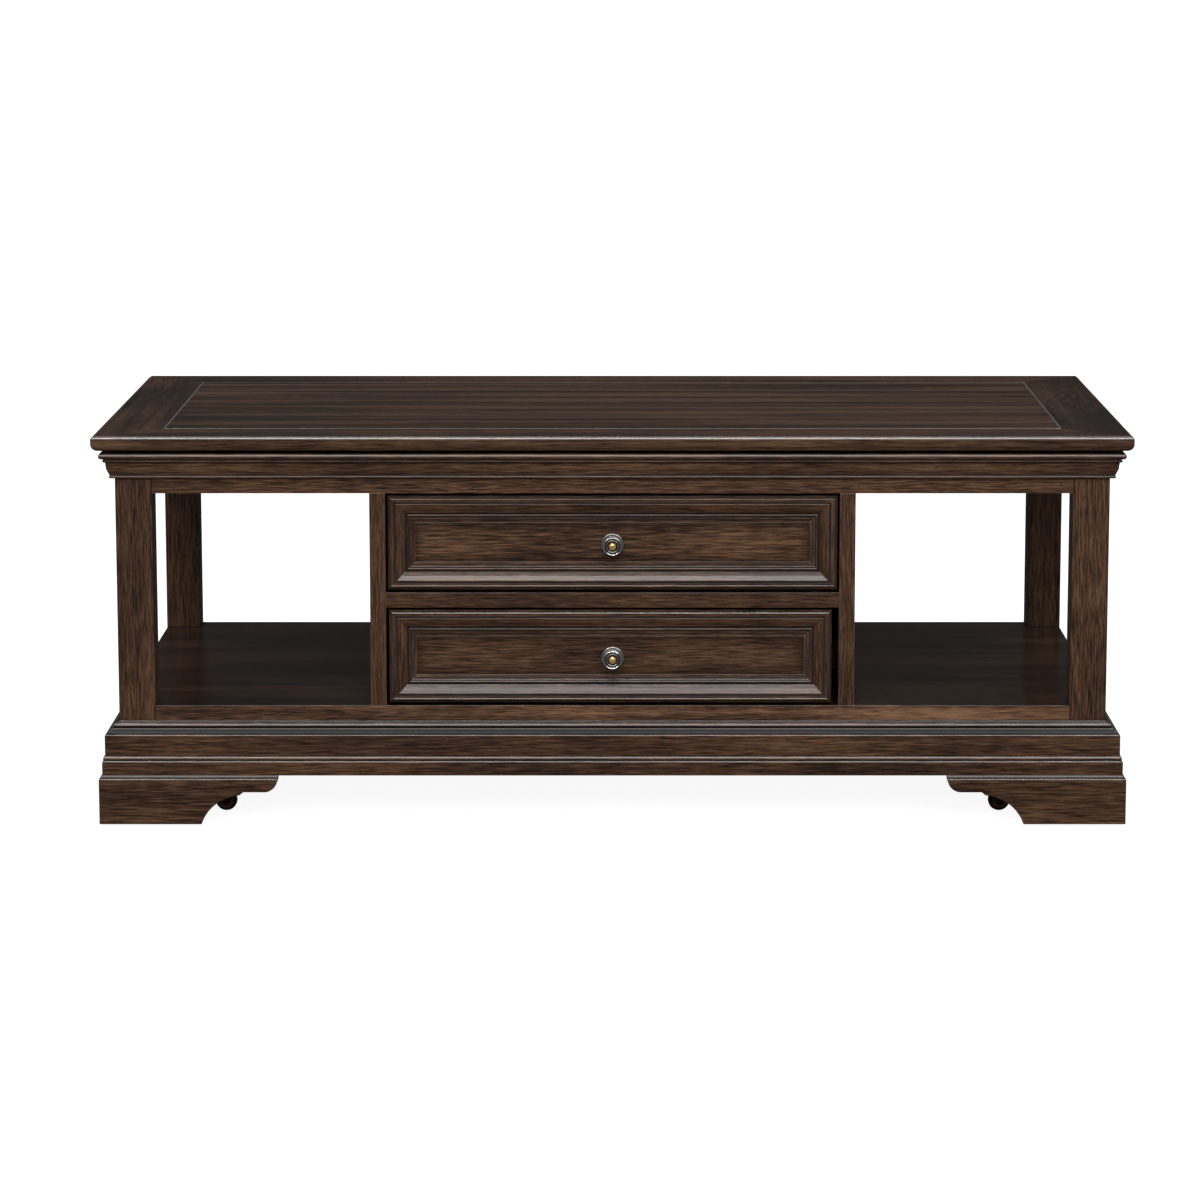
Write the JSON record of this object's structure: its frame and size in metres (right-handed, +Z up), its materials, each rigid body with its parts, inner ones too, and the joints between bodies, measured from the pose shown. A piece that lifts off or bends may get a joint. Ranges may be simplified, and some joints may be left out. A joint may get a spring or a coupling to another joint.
{
  "type": "lift top cocktail table",
  "caption": "Dark wood cocktail table with a lifting top, drawers in a central case, open side bays, moulded base and hidden casters.",
  "frame": {"origin": "on the floor, under the middle of the table", "axes": "+X along the length, -Y is the front with the drawers, +Z up"},
  "size_m": [1.27, 0.66, 0.485],
  "materials": {
    "case_wood": "dark cherry stain, satin lacquer",
    "top_wood": "dark cherry stain, satin lacquer",
    "shelf_wood": "dark cherry stain, satin lacquer",
    "front_wood": "dark cherry stain, dark glaze in the grooves",
    "panel_wood": "dark stained plywood, matt",
    "box_wood": "clear lacquered hardwood",
    "block_wood": "bare softwood",
    "knob_nickel": "satin nickel, antique gold centre",
    "lift_steel": "black enamel",
    "spring_steel": "zinc plated",
    "slide_steel": "zinc plated",
    "caster_steel": "dark plated",
    "caster_tread": "dark brown, glossy",
    "bumper_rubber": "soft black"
  },
  "bodies": {
    "case": {"leg_front_left": "case_wood", "leg_front_right": "case_wood", "leg_back_left": "case_wood", "leg_back_right": "case_wood", "front_apron": "case_wood", "back_apron": "case_wood", "left_apron": "case_wood", "right_apron": "case_wood", "cornice_moulding": "case_wood", "compartment_floor": "panel_wood", "left_divider": "case_wood", "right_divider": "case_wood", "case_back": "panel_wood", "middle_rail": "case_wood", "shelf": "shelf_wood", "base_moulding": "case_wood", "skirt_moulding": "case_wood", "foot_front_left": "case_wood", "foot_front_right": "case_wood", "foot_back_left": "case_wood", "foot_back_right": "case_wood", "foot_blocks": "block_wood", "top_bumpers": "bumper_rubber", "case_slides": "slide_steel", "caster_plates": "caster_steel", "base_brackets": "lift_steel", "lift_springs": "spring_steel"},
    "rear_arms": {"rear_arms": "lift_steel"},
    "front_arms": {"front_arms": "lift_steel"},
    "lift_top": {"top_frame": "top_wood", "top_panel": "top_wood", "top_brackets": "lift_steel"},
    "upper_drawer": {"upper_drawer_front_frame": "front_wood", "upper_drawer_front_panel": "front_wood", "upper_drawer_sides": "box_wood", "upper_drawer_ends": "box_wood", "upper_drawer_bottom": "panel_wood", "upper_drawer_knob": "knob_nickel", "upper_drawer_slide_bars": "slide_steel"},
    "lower_drawer": {"lower_drawer_front_frame": "front_wood", "lower_drawer_front_panel": "front_wood", "lower_drawer_sides": "box_wood", "lower_drawer_ends": "box_wood", "lower_drawer_bottom": "panel_wood", "lower_drawer_knob": "knob_nickel", "lower_drawer_slide_bars": "slide_steel"},
    "caster_fork_front_left": {"caster_fork_front_left": "caster_steel"},
    "caster_wheel_front_left": {"caster_wheel_front_left": "caster_tread"},
    "caster_fork_front_right": {"caster_fork_front_right": "caster_steel"},
    "caster_wheel_front_right": {"caster_wheel_front_right": "caster_tread"},
    "caster_fork_back_left": {"caster_fork_back_left": "caster_steel"},
    "caster_wheel_back_left": {"caster_wheel_back_left": "caster_tread"},
    "caster_fork_back_right": {"caster_fork_back_right": "caster_steel"},
    "caster_wheel_back_right": {"caster_wheel_back_right": "caster_tread"}
  },
  "joints": [
    {"name": "top_lift", "type": "hinge", "parent": "case", "child": "rear_arms", "pos_m": [0, -0.06, 0.4334], "axis": [1, 0, 0], "range_deg": [0, 115], "deforming": ["lift_springs"]},
    {"name": "front_swing", "type": "hinge", "parent": "case", "child": "front_arms", "pos_m": [0, -0.145, 0.4544], "axis": [1, 0, 0], "range_deg": [0, 115]},
    {"name": "top_level", "type": "hinge", "parent": "rear_arms", "child": "lift_top", "pos_m": [0, 0.16, 0.4334], "axis": [1, 0, 0], "range_deg": [-115, 0]},
    {"name": "upper_drawer_slide", "type": "slide", "parent": "case", "child": "upper_drawer", "axis": [0, -1, 0], "range_m": [0, 0.32]},
    {"name": "lower_drawer_slide", "type": "slide", "parent": "case", "child": "lower_drawer", "axis": [0, -1, 0], "range_m": [0, 0.32]},
    {"name": "caster_swivel_front_left", "type": "hinge", "parent": "case", "child": "caster_fork_front_left", "pos_m": [-0.473, -0.23, 0.0405], "axis": [0, 0, 1], "continuous": true},
    {"name": "caster_spin_front_left", "type": "hinge", "parent": "caster_fork_front_left", "child": "caster_wheel_front_left", "pos_m": [-0.485, -0.23, 0.0135], "axis": [0, 1, 0], "continuous": true},
    {"name": "caster_swivel_front_right", "type": "hinge", "parent": "case", "child": "caster_fork_front_right", "pos_m": [0.473, -0.23, 0.0405], "axis": [0, 0, 1], "continuous": true},
    {"name": "caster_spin_front_right", "type": "hinge", "parent": "caster_fork_front_right", "child": "caster_wheel_front_right", "pos_m": [0.485, -0.23, 0.0135], "axis": [0, 1, 0], "continuous": true},
    {"name": "caster_swivel_back_left", "type": "hinge", "parent": "case", "child": "caster_fork_back_left", "pos_m": [-0.473, 0.23, 0.0405], "axis": [0, 0, 1], "continuous": true},
    {"name": "caster_spin_back_left", "type": "hinge", "parent": "caster_fork_back_left", "child": "caster_wheel_back_left", "pos_m": [-0.485, 0.23, 0.0135], "axis": [0, 1, 0], "continuous": true},
    {"name": "caster_swivel_back_right", "type": "hinge", "parent": "case", "child": "caster_fork_back_right", "pos_m": [0.473, 0.23, 0.0405], "axis": [0, 0, 1], "continuous": true},
    {"name": "caster_spin_back_right", "type": "hinge", "parent": "caster_fork_back_right", "child": "caster_wheel_back_right", "pos_m": [0.485, 0.23, 0.0135], "axis": [0, 1, 0], "continuous": true}
  ],
  "couplings": [
    {"joint": "front_swing", "follows": "top_lift", "ratio": 1},
    {"joint": "top_level", "follows": "top_lift", "ratio": -1}
  ]
}
